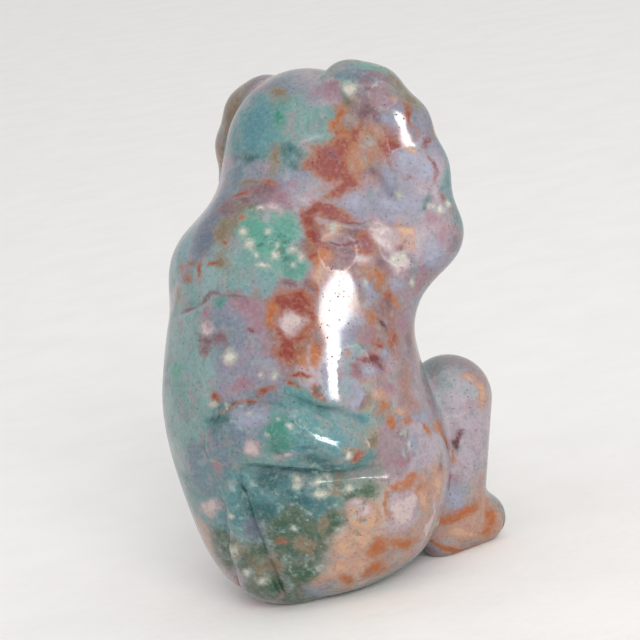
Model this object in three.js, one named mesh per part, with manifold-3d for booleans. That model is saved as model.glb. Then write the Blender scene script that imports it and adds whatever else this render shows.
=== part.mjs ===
// A small squatting monkey carved from one piece of mottled jasper.
// It holds both hands to the sides of its head, its knees are drawn up at its sides,
// and its tail climbs the middle of its back and bends over the right hip as a fat leaf.
// Millimetres, +Z up. The monkey faces -Y, so its right side is at -X, and it stands flat on z = 0.

import * as THREE from 'three';
import { mergeVertices } from 'three/addons/utils/BufferGeometryUtils.js';
import Module from 'manifold-3d';

// Driving dimensions
const SIDES = { right: -1, left: 1 };
const CHEST_HALF_WIDTH = 8.5;
const BELLY_HALF_WIDTH = 11.2;
const SEAT_HALF_WIDTH = 10.2;
const SKULL_HALF_WIDTH = 6.2;
const SKULL_HEIGHT = 36.1;
const ELBOW_HEIGHT = 28.2;
const FOREARM_RADIUS = 2.8;
const KNEE_HEIGHT = 12.8;
const KNEE_RADIUS = 3.7;
const BASE_ROUNDING = 3.2;
const BASE_ROUNDING_FLOOR = -0.25;
const TAIL_RELIEF = 0.65;
const BACK_AXIS_Y = 1.0;
const BACK_RADIUS = 14;
const REACH_OF_CUTS = 2;
const SPARE_BELOW = 0.8;

// How finely the surface is first laid out, and how many triangles are kept
const CELL = 0.52;
const BLOCK_LOW = [-15, -17, -1.4];
const BLOCK_HIGH = [15, 15, 45];
const KEPT_TRIANGLES = 9500;
const EVENNESS = 3e-5;
const SETTLING_ROUNDS = 6;
const LAST_SETTLING_ROUNDS = 2;

// A form is a function of x, y and z: about the distance to its surface, below zero inside the stone

function egg(centre, radii, leanDeg = 0, turnDeg = 0) {
  const lean = THREE.MathUtils.degToRad(leanDeg);
  const turn = THREE.MathUtils.degToRad(turnDeg);
  const m = new THREE.Matrix4().makeRotationFromEuler(new THREE.Euler(lean, 0, turn, 'ZXY')).elements;
  const [cx, cy, cz] = centre;
  const [rx, ry, rz] = radii;
  return (x, y, z) => {
    const dx = x - cx;
    const dy = y - cy;
    const dz = z - cz;
    const u = (m[0] * dx + m[1] * dy + m[2] * dz) / rx;
    const v = (m[4] * dx + m[5] * dy + m[6] * dz) / ry;
    const w = (m[8] * dx + m[9] * dy + m[10] * dz) / rz;
    const reach = Math.hypot(u, v, w);
    const slope = Math.hypot(u / rx, v / ry, w / rz) + 1e-9;
    return (reach * (reach - 1)) / slope;
  };
}

function limb(from, to, fromRadius, toRadius) {
  const [ax, ay, az] = from;
  const bx = to[0] - ax;
  const by = to[1] - ay;
  const bz = to[2] - az;
  const lengthSquared = bx * bx + by * by + bz * bz;
  return (x, y, z) => {
    const dx = x - ax;
    const dy = y - ay;
    const dz = z - az;
    const t = Math.min(1, Math.max(0, (dx * bx + dy * by + dz * bz) / lengthSquared));
    const gap = Math.hypot(dx - t * bx, dy - t * by, dz - t * bz);
    return gap - fromRadius - t * (toRadius - fromRadius);
  };
}

// A limb through several stations, each with its own place and radius
function chain(stations, softness) {
  const pieces = stations
    .slice(1)
    .map((end, i) => limb(stations[i].at, end.at, stations[i].radius, end.radius));
  return join(softness, ...pieces);
}

// Joins forms with a fillet about as wide as softness
function join(softness, ...forms) {
  return (x, y, z) => {
    let result = forms[0](x, y, z);
    for (let i = 1; i < forms.length; i += 1) {
      const other = forms[i](x, y, z);
      const overlap = Math.max(softness - Math.abs(result - other), 0) / softness;
      result = Math.min(result, other) - (overlap * overlap * softness) / 4;
    }
    return result;
  };
}

// Rounds off the bottom edge of a form above a plane at the given height
function roundBelow(form, height, rounding) {
  return (x, y, z) => {
    const inside = form(x, y, z);
    const below = height - z;
    const overlap = Math.max(rounding - Math.abs(inside - below), 0) / rounding;
    return Math.max(inside, below) + (overlap * overlap * rounding) / 4;
  };
}

// Body and head

function torso() {
  const chest = egg([0, 0.6, 25.2], [CHEST_HALF_WIDTH, 8.5, 8.4], 12);
  const belly = egg([0, 1.8, 17.2], [BELLY_HALF_WIDTH, 10.2, 10.6], 4);
  const seat = egg([0.5, 2.1, 8.8], [SEAT_HALF_WIDTH, 9.3, 12.2], -2);
  const lap = egg([0, -6.2, 8.0], [5.6, 4.2, 9.0]);
  return join(4.5, chest, belly, seat, lap);
}

function haunch(side) {
  return egg([side * 5.7, 0, 9.6], [5.8, 6.4, 8.0], 6);
}

function head() {
  const skull = egg([0, -5.9, SKULL_HEIGHT], [SKULL_HALF_WIDTH, 6.7, 6.2]);
  const nape = limb([0, 0, 28], [0, -4.8, 34.2], 6.8, 5.4);
  const jaw = egg([-0.3, -5.0, 31.4], [8.1, 6.2, 5.4]);
  const rightCheek = egg([-6.6, -5.6, 33.0], [3.0, 3.4, 6.6], 0, 8);
  const leftCheek = egg([5.2, -6.6, 32.8], [2.8, 3.4, 6.0]);
  return join(2.8, skull, nape, jaw, rightCheek, leftCheek);
}

function face() {
  const muzzle = egg([0, -11.8, 33.1], [3.5, 3.1, 2.9]);
  const chin = egg([0, -11.4, 31.0], [2.6, 2.4, 2.0]);
  const brow = limb([-2.7, -11.2, 38.0], [2.7, -11.2, 38.0], 1.5, 1.5);
  const noseBridge = limb([0, -11.8, 37.4], [0, -13.6, 34.4], 1.0, 1.1);
  return join(1.2, muzzle, chin, brow, noseBridge);
}

// Arms and legs

// The left arm sits closer in than the right one, and a little lower
const LEFT_TUCK_AT_HAND = 1.4;
const LEFT_TUCK_PER_MM_DOWN = 0.11;
const LEFT_DROP = 0.7;

function upperArm(side) {
  const tuck = side === SIDES.left ? 2.4 : 0;
  const shoulder = [side * 6.0, 1.2, 27.0];
  const elbow = [side * (10.3 - tuck), -6 - tuck / 3, ELBOW_HEIGHT - 0.4];
  const ribs = [side * 7.4, -1.6, 23.6];
  return join(2, limb(shoulder, elbow, 4.0, 2.9), limb(elbow, ribs, 2.7, 3.2));
}

function forearm(side) {
  const isLeft = side === SIDES.left;
  const tuckAt = (z) => (isLeft ? LEFT_TUCK_AT_HAND + LEFT_TUCK_PER_MM_DOWN * (40 - z) : 0);
  const drop = isLeft ? LEFT_DROP : 0;
  const place = (out, y, z, radius) => ({
    at: [side * (out - tuckAt(z)), y - tuckAt(z) / 3, z - drop],
    radius,
  });
  const elbow = place(10.4, -6.2, ELBOW_HEIGHT, 2.9);
  const middle = place(10.0, -6.6, 33.0, FOREARM_RADIUS);
  const wrist = place(9.0, -6.6, 36.6, FOREARM_RADIUS);
  const palm = place(7.0, -6.5, 39.1, FOREARM_RADIUS);
  const fingertips = place(5.4, -6.2, 40.1, 2.6);
  return chain([elbow, middle, wrist, palm, fingertips], 1);
}

function lowerLeg(side) {
  const knee = [side * 7.7, -8.7, KNEE_HEIGHT];
  const ankle = [side * 7.1, -6.9, 4.2];
  return limb(knee, ankle, KNEE_RADIUS, 3.1);
}

function foot(side) {
  const heel = [side * 6.6, -6.0, 1.9];
  const toes = [side * 8.3, -9.2, 2.0];
  return limb(heel, toes, 2.4, 2.2);
}

function bothSides(makeForm) {
  return [makeForm(SIDES.right), makeForm(SIDES.left)];
}

const body = join(2.5, join(2.5, torso(), ...bothSides(haunch)), head(), ...bothSides(upperArm));
const legs = bothSides((side) => join(1.2, lowerLeg(side), foot(side)));
const limbs = [face(), ...legs, ...bothSides(forearm)];
const figure = join(0.7, body, ...limbs);

// Places on the skin

// The skin at a height, seen from outside along a bearing: 0 is straight behind, 90 is the right side
function skinAt(form, bearingDeg, height) {
  const bearing = THREE.MathUtils.degToRad(bearingDeg);
  const out = [-Math.sin(bearing), Math.cos(bearing)];
  let reach = 20;
  for (let step = 0; step < 60; step += 1) {
    reach -= 0.7 * form(out[0] * reach, BACK_AXIS_Y + out[1] * reach, height);
  }
  return { out, reach, height };
}

function pointUnder(spot, depth) {
  const reach = spot.reach - depth;
  return [spot.out[0] * reach, BACK_AXIS_Y + spot.out[1] * reach, spot.height];
}

function slopeOf(form, x, y, z) {
  const step = 0.01;
  const slope = [
    form(x + step, y, z) - form(x - step, y, z),
    form(x, y + step, z) - form(x, y - step, z),
    form(x, y, z + step) - form(x, y, z - step),
  ];
  return slope.map((rise) => rise / (2 * step));
}

// Moves a point to the nearest place on the skin
function settle(form, point, rounds = SETTLING_ROUNDS) {
  let [x, y, z] = point;
  for (let round = 0; round < rounds; round += 1) {
    const [sx, sy, sz] = slopeOf(form, x, y, z);
    const share = form(x, y, z) / (sx * sx + sy * sy + sz * sz + 1e-9);
    x -= share * sx;
    y -= share * sy;
    z -= share * sz;
  }
  return [x, y, z];
}

// The tail: a strip up the middle of the back, and the fat leaf that it bends into over the right hip.
// Its cross-section is the cap of a circle that meets the rounded back halfWidth to each side of its middle.

function tailStation([bearingDeg, height, halfWidth, relief = TAIL_RELIEF]) {
  const radius = 1 / ((2 * relief) / (halfWidth * halfWidth) + 1 / BACK_RADIUS);
  return { at: pointUnder(skinAt(body, bearingDeg, height), radius - relief), radius };
}

function tail() {
  const strip = [
    [-8, 1.6, 2.1, 0.3],
    [-6, 3.6, 2.1, 0.35],
    [-5, 6.2, 1.8, 0.35],
    [-1, 8.8, 1.3, 0.35],
    [1, 11.2, 1.1, 0.35],
    [5, 13.6, 1.4, 0.35],
  ];
  const leaf = [
    [0, 15.2, 1.7],
    [10, 15.9, 2.5],
    [24, 16.1, 2.8],
    [39, 15.2, 2.8],
    [53, 14.1, 2.3],
    [64, 13.3, 1.3],
  ];
  const stripForm = chain(strip.map(tailStation), 0.6);
  const leafForm = chain(leaf.map(tailStation), 0.6);
  return join(0.6, stripForm, leafForm);
}

// Cuts made with a wheel: each is a route on the skin, with a width and a depth, fading out at both ends

function cut(route, width, depth) {
  const legsOfRoute = route.slice(1).map((to, i) => ({ from: route[i], to }));
  let length = 0;
  for (const leg of legsOfRoute) {
    leg.start = length;
    leg.span = Math.hypot(...leg.to.map((value, i) => value - leg.from[i]));
    length += leg.span;
  }
  const fade = Math.min(width * 1.5, length / 3);
  return (x, y, z) => {
    let nearest = Infinity;
    let along = 0;
    for (const { from, to, start, span } of legsOfRoute) {
      const bx = to[0] - from[0];
      const by = to[1] - from[1];
      const bz = to[2] - from[2];
      const dx = x - from[0];
      const dy = y - from[1];
      const dz = z - from[2];
      const t = Math.min(1, Math.max(0, (dx * bx + dy * by + dz * bz) / (span * span)));
      const gap = Math.hypot(dx - t * bx, dy - t * by, dz - t * bz);
      if (gap < nearest) {
        nearest = gap;
        along = start + t * span;
      }
    }
    const across = (2 * nearest) / width;
    if (across >= 1) return 0;
    const fromEnd = Math.min(1, (Math.min(along, length - along) + 0.2 * fade) / fade);
    return depth * fromEnd * (1 - across * across) ** 1.5;
  };
}

function cutAlongBack(form, bearingsAndHeights, width, depth) {
  const route = bearingsAndHeights.map(([bearing, height]) => pointUnder(skinAt(form, bearing, height), 0));
  return cut(route, width, depth);
}

function cutThrough(form, points, width, depth) {
  return cut(points.map((point) => settle(form, point)), width, depth);
}

function tailCuts(form) {
  const underLeaf = [[6, 13.1], [16, 12.9], [28, 12.4], [40, 11.8], [52, 11.2], [64, 10.9], [72, 11.1]];
  const overLeaf = [[-6, 16.8], [2, 18.2], [12, 18.9], [24, 19.1], [39, 18.2], [54, 16.7], [66, 14.6]];
  const leafRoot = [[-8, 16.8], [-10, 15.2], [-11, 13.4]];
  const stripRight = [[6, 12.6], [6, 10.5], [6, 8.2], [7, 5.8], [8, 3.4], [8, 1.2]];
  const stripLeft = [[-6, 11.6], [-8, 8.8], [-14, 6.4], [-17, 4.2], [-22, 1.2]];
  return [
    cutAlongBack(form, underLeaf, 1.9, 0.9),
    cutAlongBack(form, overLeaf, 1.5, 0.35),
    cutAlongBack(form, leafRoot, 1.5, 0.25),
    cutAlongBack(form, stripRight, 1.4, 0.4),
    cutAlongBack(form, stripLeft, 1.4, 0.3),
  ];
}

function bodyCuts(form) {
  const acrossShoulders = [[-40, 25.2], [-22, 25.9], [-7, 26.9], [4, 27.1], [14, 26.9], [24, 26.1]];
  const nape = [[3.6, 0.2, 35.9], [2.4, 1.1, 36.2], [0.6, 1.5, 36.7], [-1.0, 1.4, 36.6]];
  const overArm = [
    [-6.8, 1.7, 31.2],
    [-8.2, 1.0, 30.9],
    [-9.6, -0.6, 30.2],
    [-11.0, -2.4, 29.8],
    [-12.6, -4.2, 29.3],
  ];
  const besideArm = [
    [-5.0, -4.2, 41.3],
    [-7.2, -3.8, 39.0],
    [-8.8, -3.6, 36.6],
    [-10.4, -3.8, 34.0],
    [-11.8, -4.0, 30.8],
  ];
  const leftShare = 0.86;
  const mirrored = (route) => route.map(([x, y, z]) => [-x * leftShare, y, z - LEFT_DROP]);
  return [
    cutAlongBack(form, acrossShoulders, 1.3, 0.22),
    cutThrough(form, nape, 1.4, 0.25),
    cutThrough(form, overArm, 1.2, 0.35),
    cutThrough(form, mirrored(overArm), 1.3, 0.4),
    cutThrough(form, besideArm, 1.5, 0.25),
    cutThrough(form, mirrored(besideArm), 1.5, 0.4),
  ];
}

function faceCuts(form) {
  const halfMouth = (side) => [[0, -14.9, 31.8], [side * 1.5, -14.4, 31.8], [side * 2.9, -12.9, 32.2]];
  const mouth = [...halfMouth(SIDES.right).reverse(), ...halfMouth(SIDES.left).slice(1)];
  const eye = (side) => [[side * 2.0, -12.4, 36.3], [side * 2.7, -12.1, 36.3]];
  const nostril = (side) => [[side * 0.7, -14.9, 34.2], [side * 1.0, -14.8, 34.0]];
  const cheekLine = (side) => [
    [side * 4.0, -11.4, 36.8],
    [side * 4.4, -11.2, 34.6],
    [side * 3.9, -11.2, 32.4],
    [side * 2.6, -11.4, 30.6],
  ];
  return [
    cutThrough(form, mouth, 0.9, 0.5),
    ...bothSides((side) => cutThrough(form, eye(side), 1.7, 0.8)),
    ...bothSides((side) => cutThrough(form, nostril(side), 0.9, 0.4)),
    ...bothSides((side) => cutThrough(form, cheekLine(side), 1.3, 0.4)),
  ];
}

function footCuts(form) {
  const between = (side, share) => {
    const x = side * (7.4 + 1.8 * share);
    const y = -10.9 + 1.4 * share;
    return [[x - side * 0.3, y + 1.6, 3.6], [x, y, 2.2], [x + side * 0.1, y - 0.2, 0.4]];
  };
  return [0, 0.5, 1].flatMap((share) =>
    bothSides((side) => cutThrough(form, between(side, share), 0.8, 0.4))
  );
}

const trunk = roundBelow(join(0.35, body, tail()), BASE_ROUNDING_FLOOR, BASE_ROUNDING);
const raised = join(0.7, trunk, ...limbs);
const cuts = [...tailCuts(figure), ...bodyCuts(figure), ...faceCuts(figure), ...footCuts(figure)];

function stone(x, y, z) {
  const uncut = raised(x, y, z);
  if (Math.abs(uncut) > REACH_OF_CUTS) return uncut;
  return cuts.reduce((sum, one) => sum + one(x, y, z), uncut);
}

// Lays triangles over the surface: each cell is split into six tetrahedra around its long diagonal

const CORNERS = [0, 1, 2, 3, 4, 5, 6, 7].map((bits) => [bits & 1, (bits >> 1) & 1, (bits >> 2) & 1]);
const AXIS_ORDERS = [[1, 2, 4], [1, 4, 2], [2, 1, 4], [2, 4, 1], [4, 1, 2], [4, 2, 1]];
const TETRAHEDRA = AXIS_ORDERS.map(([first, second]) => [0, first, first | second, 7]);

function layTriangles(form, low, high, cell) {
  const counts = low.map((value, i) => Math.ceil((high[i] - value) / cell) + 1);
  const indexOf = (i, j, k) => (i * counts[1] + j) * counts[2] + k;
  const total = counts[0] * counts[1] * counts[2];
  const values = new Float64Array(total);
  const placeOf = (index) => {
    const k = index % counts[2];
    const j = Math.floor(index / counts[2]) % counts[1];
    const i = Math.floor(index / (counts[1] * counts[2]));
    return [low[0] + i * cell, low[1] + j * cell, low[2] + k * cell];
  };
  for (let index = 0; index < total; index += 1) values[index] = form(...placeOf(index));

  const points = [];
  const faces = [];
  const known = new Map();
  const crossing = (a, b) => {
    const key = Math.min(a, b) * total + Math.max(a, b);
    if (known.has(key)) return known.get(key);
    const share = THREE.MathUtils.clamp(values[a] / (values[a] - values[b]), 0.08, 0.92);
    const from = placeOf(a);
    const to = placeOf(b);
    points.push(from.map((value, i) => value + share * (to[i] - value)));
    known.set(key, points.length - 1);
    return points.length - 1;
  };
  const middle = (indices) => {
    const places = indices.map(placeOf);
    return [0, 1, 2].map((i) => places.reduce((sum, place) => sum + place[i], 0) / places.length);
  };
  const addFace = (a, b, c, outward) => {
    const [p, q, r] = [points[a], points[b], points[c]].map((point) => new THREE.Vector3(...point));
    const normal = q.clone().sub(p).cross(r.clone().sub(p));
    faces.push(normal.dot(outward) > 0 ? [a, b, c] : [a, c, b]);
  };
  const addTetrahedron = (corners) => {
    const inside = corners.filter((index) => values[index] < 0);
    const outside = corners.filter((index) => values[index] >= 0);
    if (inside.length === 0 || outside.length === 0) return;
    const outward = new THREE.Vector3(...middle(outside)).sub(new THREE.Vector3(...middle(inside)));
    if (inside.length === 2) {
      const [a, b] = inside;
      const [c, d] = outside;
      addFace(crossing(a, c), crossing(a, d), crossing(b, d), outward);
      addFace(crossing(a, c), crossing(b, d), crossing(b, c), outward);
      return;
    }
    const [alone, others] = inside.length === 1 ? [inside[0], outside] : [outside[0], inside];
    addFace(...others.map((index) => crossing(alone, index)), outward);
  };
  for (let i = 0; i < counts[0] - 1; i += 1) {
    for (let j = 0; j < counts[1] - 1; j += 1) {
      for (let k = 0; k < counts[2] - 1; k += 1) {
        const corners = CORNERS.map(([di, dj, dk]) => indexOf(i + di, j + dj, k + dk));
        const wet = corners.filter((index) => values[index] < 0).length;
        if (wet === 0 || wet === 8) continue;
        for (const tetrahedron of TETRAHEDRA) addTetrahedron(tetrahedron.map((corner) => corners[corner]));
      }
    }
  }
  return { points, faces };
}

// Thins a closed skin: the edge whose loss bends the surface least is folded away first

class Queue {
  items = [];

  push(item) {
    const { items } = this;
    let at = items.push(item) - 1;
    while (at > 0) {
      const up = (at - 1) >> 1;
      if (items[up].cost <= item.cost) break;
      items[at] = items[up];
      at = up;
    }
    items[at] = item;
  }

  pop() {
    const { items } = this;
    const top = items[0];
    const last = items.pop();
    if (items.length === 0) return top;
    let at = 0;
    for (;;) {
      let down = 2 * at + 1;
      if (down >= items.length) break;
      if (down + 1 < items.length && items[down + 1].cost < items[down].cost) down += 1;
      if (items[down].cost >= last.cost) break;
      items[at] = items[down];
      at = down;
    }
    items[at] = last;
    return top;
  }
}

function planeOf(p, q, r) {
  const ux = q[0] - p[0];
  const uy = q[1] - p[1];
  const uz = q[2] - p[2];
  const vx = r[0] - p[0];
  const vy = r[1] - p[1];
  const vz = r[2] - p[2];
  const nx = uy * vz - uz * vy;
  const ny = uz * vx - ux * vz;
  const nz = ux * vy - uy * vx;
  const twiceArea = Math.hypot(nx, ny, nz) + 1e-12;
  const normal = [nx / twiceArea, ny / twiceArea, nz / twiceArea];
  return { normal, offset: -(normal[0] * p[0] + normal[1] * p[1] + normal[2] * p[2]), area: twiceArea / 2 };
}

function thin({ points, faces }, wanted) {
  const planes = points.map(() => new Float64Array(10));
  const facesAt = points.map(() => new Set());
  const stamps = new Int32Array(points.length);
  faces.forEach((face, f) => {
    const { normal, offset, area } = planeOf(...face.map((v) => points[v]));
    const terms = [...normal, offset];
    for (const v of face) {
      facesAt[v].add(f);
      let slot = 0;
      for (let i = 0; i < 4; i += 1) {
        for (let j = i; j < 4; j += 1) {
          planes[v][slot] += area * terms[i] * terms[j];
          slot += 1;
        }
      }
    }
  });
  const strayFrom = (q, [x, y, z]) =>
    q[0] * x * x + 2 * q[1] * x * y + 2 * q[2] * x * z + 2 * q[3] * x +
    q[4] * y * y + 2 * q[5] * y * z + 2 * q[6] * y +
    q[7] * z * z + 2 * q[8] * z + q[9];
  const queue = new Queue();
  const neighboursOf = (v) => {
    const found = new Set();
    for (const f of facesAt[v]) for (const w of faces[f]) if (w !== v) found.add(w);
    return found;
  };
  const offer = (a, b) => {
    const both = planes[a].map((value, i) => value + planes[b][i]);
    const half = points[a].map((value, i) => (value + points[b][i]) / 2);
    const lengthSquared = points[a].reduce((sum, value, i) => sum + (value - points[b][i]) ** 2, 0);
    let best = { cost: Infinity };
    for (const place of [half, points[a], points[b]]) {
      const cost = strayFrom(both, place) + EVENNESS * lengthSquared;
      if (cost < best.cost) best = { cost, place };
    }
    queue.push({ ...best, a, b, stampA: stamps[a], stampB: stamps[b] });
  };
  const turnsOver = (v, other, place) => {
    for (const f of facesAt[v]) {
      if (facesAt[other].has(f)) continue;
      const before = planeOf(...faces[f].map((w) => points[w]));
      const after = planeOf(...faces[f].map((w) => (w === v ? place : points[w])));
      const agreement = before.normal.reduce((sum, value, i) => sum + value * after.normal[i], 0);
      if (agreement < 0.3 || after.area < 1e-4) return true;
    }
    return false;
  };
  points.forEach((_, v) => {
    for (const w of neighboursOf(v)) if (v < w) offer(v, w);
  });
  let left = faces.length;
  while (left > wanted) {
    const { a, b, place, stampA, stampB } = queue.pop();
    if (stamps[a] !== stampA || stamps[b] !== stampB) continue;
    const aroundB = neighboursOf(b);
    const shared = [...neighboursOf(a)].filter((v) => aroundB.has(v));
    if (shared.length !== 2 || turnsOver(a, b, place) || turnsOver(b, a, place)) continue;
    for (const f of [...facesAt[b]]) {
      if (faces[f].includes(a)) {
        for (const v of faces[f]) facesAt[v].delete(f);
        faces[f] = null;
        left -= 1;
      } else {
        faces[f] = faces[f].map((v) => (v === b ? a : v));
        facesAt[a].add(f);
      }
    }
    points[a] = place;
    planes[a] = planes[a].map((value, i) => value + planes[b][i]);
    stamps[a] += 1;
    stamps[b] = -1;
    facesAt[b].clear();
    for (const v of neighboursOf(a)) offer(a, v);
  }
  return { points, faces: faces.filter((face) => face !== null) };
}

function toGeometry({ points, faces }) {
  const geometry = new THREE.BufferGeometry();
  geometry.setAttribute('position', new THREE.Float32BufferAttribute(points.flat(), 3));
  geometry.setIndex(faces.flat());
  return geometry;
}

// Cuts the underside flat on z = 0

async function cutFlatBelow(geometry, height) {
  const wasm = await Module();
  wasm.setup();
  const solidOf = (source) => {
    const bare = source.clone();
    bare.deleteAttribute('normal');
    bare.deleteAttribute('uv');
    const merged = mergeVertices(bare, 1e-5);
    return new wasm.Manifold(new wasm.Mesh({
      numProp: 3,
      vertProperties: new Float32Array(merged.attributes.position.array),
      triVerts: new Uint32Array(merged.index.array),
    }));
  };
  const room = new THREE.BoxGeometry(60, 60, height);
  room.translate(0, 0, height / 2);
  const mesh = solidOf(geometry).intersect(solidOf(room)).getMesh();
  const result = new THREE.BufferGeometry();
  result.setAttribute('position', new THREE.BufferAttribute(new Float32Array(mesh.vertProperties), 3));
  result.setIndex(new THREE.BufferAttribute(new Uint32Array(mesh.triVerts), 1));
  return result;
}

async function carve() {
  const block = (x, y, z) => Math.max(stone(x, y, z), -SPARE_BELOW - z);
  const fine = layTriangles(block, BLOCK_LOW, BLOCK_HIGH, CELL);
  const thinned = thin(fine, KEPT_TRIANGLES);
  thinned.points = thinned.points.map((point) => settle(block, point, LAST_SETTLING_ROUNDS));
  return cutFlatBelow(toGeometry(thinned), BLOCK_HIGH[2] + 5);
}

const polishedJasper = new THREE.MeshStandardMaterial({ color: 0x8c9a9f, roughness: 0.12, metalness: 0 });

const monkey = new THREE.Mesh(await carve(), polishedJasper);
monkey.name = 'monkey_carving';

const group = new THREE.Group();
group.add(monkey);

export default group;
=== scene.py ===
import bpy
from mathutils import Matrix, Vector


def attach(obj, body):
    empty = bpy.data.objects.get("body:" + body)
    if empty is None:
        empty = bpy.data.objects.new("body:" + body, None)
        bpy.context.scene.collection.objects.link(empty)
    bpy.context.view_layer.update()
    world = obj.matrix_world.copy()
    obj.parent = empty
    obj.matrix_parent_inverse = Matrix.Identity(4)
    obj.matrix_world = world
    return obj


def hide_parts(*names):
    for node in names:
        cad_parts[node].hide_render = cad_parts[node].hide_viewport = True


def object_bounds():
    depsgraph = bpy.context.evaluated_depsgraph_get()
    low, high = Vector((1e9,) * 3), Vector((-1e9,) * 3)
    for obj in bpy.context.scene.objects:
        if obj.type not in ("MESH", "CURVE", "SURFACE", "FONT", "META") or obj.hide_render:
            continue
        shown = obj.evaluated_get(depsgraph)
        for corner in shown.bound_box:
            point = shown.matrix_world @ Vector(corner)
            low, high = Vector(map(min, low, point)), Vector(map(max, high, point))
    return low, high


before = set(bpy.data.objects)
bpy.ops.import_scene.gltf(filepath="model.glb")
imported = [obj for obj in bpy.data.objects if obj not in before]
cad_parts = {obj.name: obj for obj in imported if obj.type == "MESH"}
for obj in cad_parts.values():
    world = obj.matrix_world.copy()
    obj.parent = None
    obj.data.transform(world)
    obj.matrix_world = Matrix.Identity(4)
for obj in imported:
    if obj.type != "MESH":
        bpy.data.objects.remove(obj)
cad_box = [list(corner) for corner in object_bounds()]

import math

import bpy
import numpy as np
from mathutils import Matrix, Vector

# Sizes of the carving, in millimetres

RIGHT = -1
LEFT = 1
METRES = 0.001
CHEST_HALF_WIDTH = 8.5
BELLY_HALF_WIDTH = 11.2
SEAT_HALF_WIDTH = 10.2
SKULL_HALF_WIDTH = 6.2
SKULL_HEIGHT = 36.1
ELBOW_HEIGHT = 28.2
FOREARM_RADIUS = 2.8
KNEE_HEIGHT = 12.8
KNEE_RADIUS = 3.7
BASE_ROUNDING = 3.2
BASE_ROUNDING_FLOOR = -0.25
TAIL_RELIEF = 0.65
STRIP_RELIEF = 0.35
BACK_AXIS_Y = 1.0
BACK_RADIUS = 14.0
LEFT_TUCK_AT_HAND = 1.4
LEFT_TUCK_PER_MM_DOWN = 0.11
LEFT_DROP = 0.7

# Fineness of the surface

CELL = 0.3
COARSE_CELLS = 4
BAND = 1.9
SETTLING_ROUNDS = 3

# The view of the photograph

IMAGE_SIZE = 640
VIEW_AZIMUTH = 220
VIEW_ELEVATION = 12
VIEW_ROLL = 11
VIEW_TARGET = (-1.6, -1.35, 21.9)
VIEW_DISTANCE = 230
FOCAL_PIXELS = 2760
SENSOR_WIDTH = 36

# The light on the stone, and how far its colours spread

DAYLIGHT = 1.37
MIRRORED = 0.045
SPREAD = 1.12
HALO = 0.45
EVEN_SIZE = 0.67


# The form: every function gives the signed distance to a surface, less than zero inside


def lengths(vectors):
    return np.sqrt(np.einsum("...i,...i->...", vectors, vectors))


def egg(centre, radii, lean_deg=0.0, turn_deg=0.0):
    lean, turn = math.radians(lean_deg), math.radians(turn_deg)
    tilt = np.array([[1, 0, 0], [0, math.cos(lean), -math.sin(lean)], [0, math.sin(lean), math.cos(lean)]])
    spin = np.array([[math.cos(turn), -math.sin(turn), 0], [math.sin(turn), math.cos(turn), 0], [0, 0, 1]])
    axes = spin @ tilt / np.array(radii)

    def form(points):
        local = (points - np.array(centre)) @ axes
        reach = lengths(local)
        slope = lengths(local / np.array(radii)) + 1e-9
        return reach * (reach - 1) / slope

    return form


def limb(start, end, start_radius, end_radius):
    start, end = np.array(start, float), np.array(end, float)
    along = end - start

    def form(points):
        offset = points - start
        share = np.clip(offset @ along / (along @ along), 0, 1)
        gap = lengths(offset - share[:, None] * along)
        return gap - start_radius - share * (end_radius - start_radius)

    return form


def join(softness, *forms):
    def form(points):
        result = forms[0](points)
        for other_form in forms[1:]:
            other = other_form(points)
            overlap = np.maximum(softness - np.abs(result - other), 0) / softness
            result = np.minimum(result, other) - overlap**2 * softness / 4
        return result

    return form


def chain(stations, softness):
    pairs = zip(stations[:-1], stations[1:])
    return join(softness, *[limb(a[0], b[0], a[1], b[1]) for a, b in pairs])


def round_below(form, height, rounding):
    def rounded(points):
        inside = form(points)
        below = height - points[:, 2]
        overlap = np.maximum(rounding - np.abs(inside - below), 0) / rounding
        return np.maximum(inside, below) + overlap**2 * rounding / 4

    return rounded


def torso():
    chest = egg([0, 0.6, 25.2], [CHEST_HALF_WIDTH, 8.5, 8.4], 12)
    belly = egg([0, 1.8, 17.2], [BELLY_HALF_WIDTH, 10.2, 10.6], 4)
    seat = egg([0.5, 2.1, 8.8], [SEAT_HALF_WIDTH, 9.3, 12.2], -2)
    lap = egg([0, -6.2, 8.0], [5.6, 4.2, 9.0])
    return join(4.5, chest, belly, seat, lap)


def haunch(side):
    return egg([side * 5.7, 0, 9.6], [5.8, 6.4, 8.0], 6)


def head():
    skull = egg([0, -5.9, SKULL_HEIGHT], [SKULL_HALF_WIDTH, 6.7, 6.2])
    nape = limb([0, 0, 28], [0, -4.8, 34.2], 6.8, 5.4)
    jaw = egg([-0.3, -5.0, 31.4], [8.1, 6.2, 5.4])
    right_cheek = egg([-6.6, -5.6, 33.0], [3.0, 3.4, 6.6], 0, 8)
    left_cheek = egg([5.2, -6.6, 32.8], [2.8, 3.4, 6.0])
    return join(2.8, skull, nape, jaw, right_cheek, left_cheek)


def face():
    muzzle = egg([0, -11.8, 33.1], [3.5, 3.1, 2.9])
    chin = egg([0, -11.4, 31.0], [2.6, 2.4, 2.0])
    brow = limb([-2.7, -11.2, 38.0], [2.7, -11.2, 38.0], 1.5, 1.5)
    nose_bridge = limb([0, -11.8, 37.4], [0, -13.6, 34.4], 1.0, 1.1)
    return join(1.2, muzzle, chin, brow, nose_bridge)


def upper_arm(side):
    tuck = 2.4 if side == LEFT else 0
    shoulder = [side * 6.0, 1.2, 27.0]
    elbow = [side * (10.3 - tuck), -6 - tuck / 3, ELBOW_HEIGHT - 0.4]
    ribs = [side * 7.4, -1.6, 23.6]
    return join(2, limb(shoulder, elbow, 4.0, 2.9), limb(elbow, ribs, 2.7, 3.2))


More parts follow.
